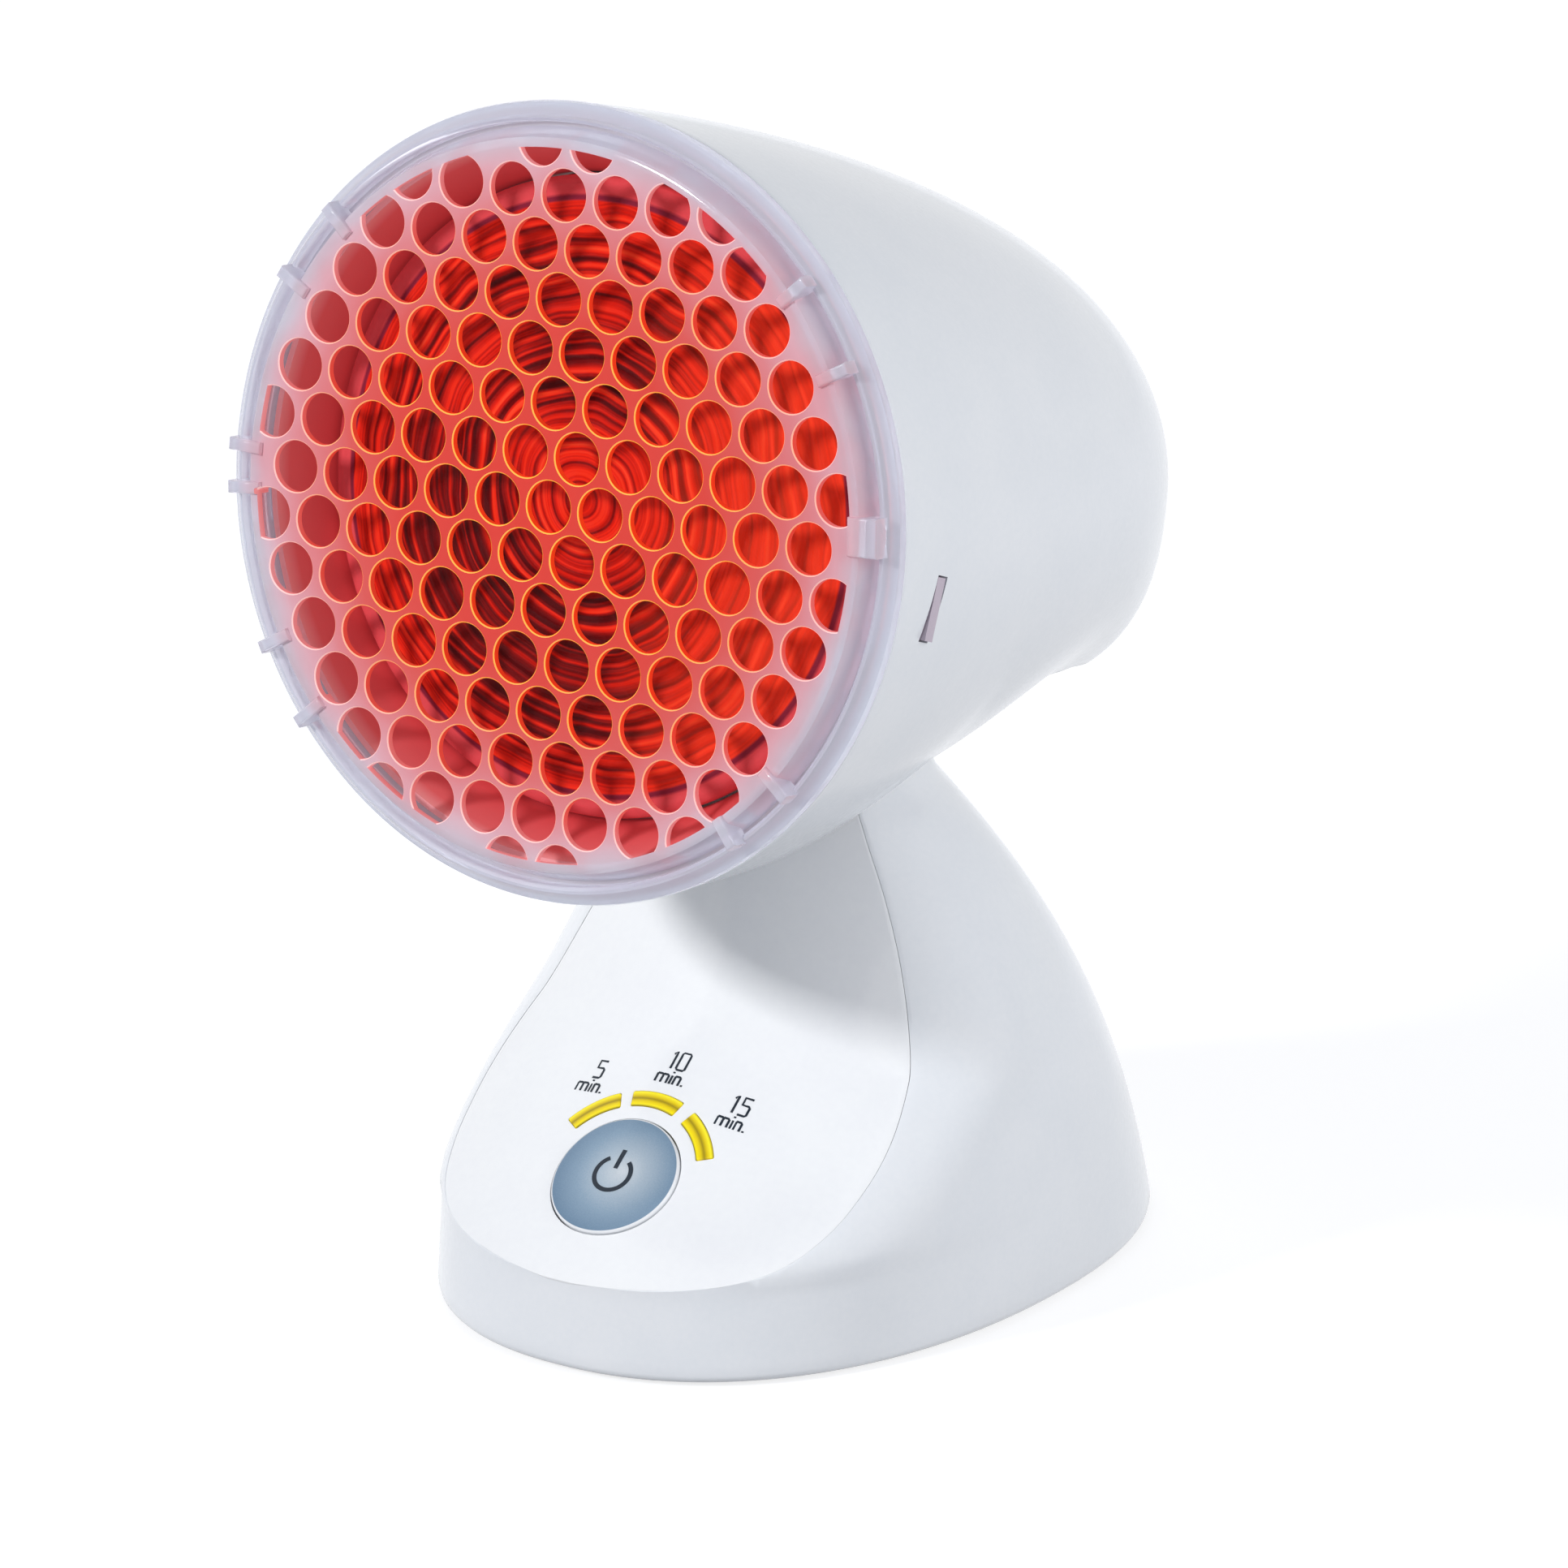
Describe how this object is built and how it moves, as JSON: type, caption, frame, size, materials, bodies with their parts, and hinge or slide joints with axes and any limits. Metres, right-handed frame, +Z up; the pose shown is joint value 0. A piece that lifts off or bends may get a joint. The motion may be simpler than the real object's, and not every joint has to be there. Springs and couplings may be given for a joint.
{
  "type": "infrared heat therapy lamp",
  "caption": "Tabletop infrared heat lamp: a round cowl with a red reflector bulb behind a perforated grille tilts in steps on a flared base with a power button and timer lights.",
  "frame": {"origin": "middle of the whole lamp's footprint, on the table under the feet", "axes": "+Z up; -Y is the front, where the grille and the button face; +X is to the right of someone who looks at the rear"},
  "size_m": [0.1506, 0.172, 0.2465],
  "materials": {
    "white_shell": "moulded gloss, white with a faint cool tint",
    "white_panel": "polished gloss white",
    "clear_grille": "clear moulded, milky lilac in thick places",
    "red_glass": "pressed ruby red",
    "silvered_glass": "vapour-coated reflector",
    "zinc_steel": "zinc plated",
    "stamped_brass": "stamped",
    "nickel_contact": "plated",
    "glazed_ceramic": "glazed",
    "black_moulding": "fine matte",
    "board_laminate": "solder resist",
    "black_rubber": "matte",
    "amber_window": "clear yellow, lit",
    "silver_blue_button": "metallic lacquer",
    "shield_metal": "pressed sheet",
    "ballast_iron": "as cast",
    "diode_white": "moulded"
  },
  "bodies": {
    "head": {"head_shell": "white_shell", "grille": "clear_grille", "heat_shield": "shield_metal", "bulb_lens": "red_glass", "bulb_reflector": "silvered_glass", "bulb_filament": "nickel_contact", "bulb_cap": "stamped_brass", "bulb_cap_insulator": "black_moulding", "bulb_contact": "nickel_contact", "lamp_socket": "glazed_ceramic", "socket_screw_shell": "stamped_brass", "socket_contact_spring": "stamped_brass", "socket_plate": "zinc_steel", "socket_screw_left": "zinc_steel", "socket_screw_right": "zinc_steel", "hinge_bracket": "zinc_steel", "bracket_screw_left": "zinc_steel", "bracket_screw_right": "zinc_steel", "hinge_axle": "zinc_steel", "axle_washer": "zinc_steel", "axle_nut": "zinc_steel", "detent_spring": "zinc_steel"},
    "base": {"base_shell": "white_shell", "front_panel": "white_panel", "base_plate": "white_shell", "ballast_weight": "ballast_iron", "foot_front_left": "black_rubber", "foot_front_right": "black_rubber", "foot_rear_left": "black_rubber", "foot_rear_right": "black_rubber", "base_screw_front_left": "zinc_steel", "base_screw_front_right": "zinc_steel", "base_screw_rear_left": "zinc_steel", "base_screw_rear_right": "zinc_steel", "cord_gland": "black_rubber", "detent_disc": "zinc_steel", "friction_washer": "zinc_steel", "circuit_board": "board_laminate", "board_screw_1": "zinc_steel", "board_screw_2": "zinc_steel", "board_screw_3": "zinc_steel", "board_screw_4": "zinc_steel", "relay": "black_moulding", "capacitor": "black_moulding", "buzzer": "black_moulding", "terminal_block": "board_laminate", "switch_body": "zinc_steel", "led_5_min": "diode_white", "led_10_min": "diode_white", "led_15_min": "diode_white", "led_window_5_min": "amber_window", "led_window_10_min": "amber_window", "led_window_15_min": "amber_window"},
    "button": {"power_button": "silver_blue_button"},
    "plunger": {"switch_plunger": "black_moulding"}
  },
  "joints": [
    {"name": "head_tilt", "type": "hinge", "parent": "base", "child": "head", "pos_m": [0, 0.02009, 0.12533], "axis": [-1, 0, 0], "range_deg": [-10, 30]},
    {"name": "button_press", "type": "slide", "parent": "base", "child": "button", "axis": [0, 0.6116, -0.7912], "range_m": [0, 0.001], "stiffness_N_per_m": 600, "springref_m": -0.001},
    {"name": "plunger_press", "type": "slide", "parent": "base", "child": "plunger", "axis": [0, 0.6116, -0.7912], "range_m": [0, 0.001]}
  ],
  "couplings": [
    {"joint": "plunger_press", "follows": "button_press", "ratio": 1}
  ]
}
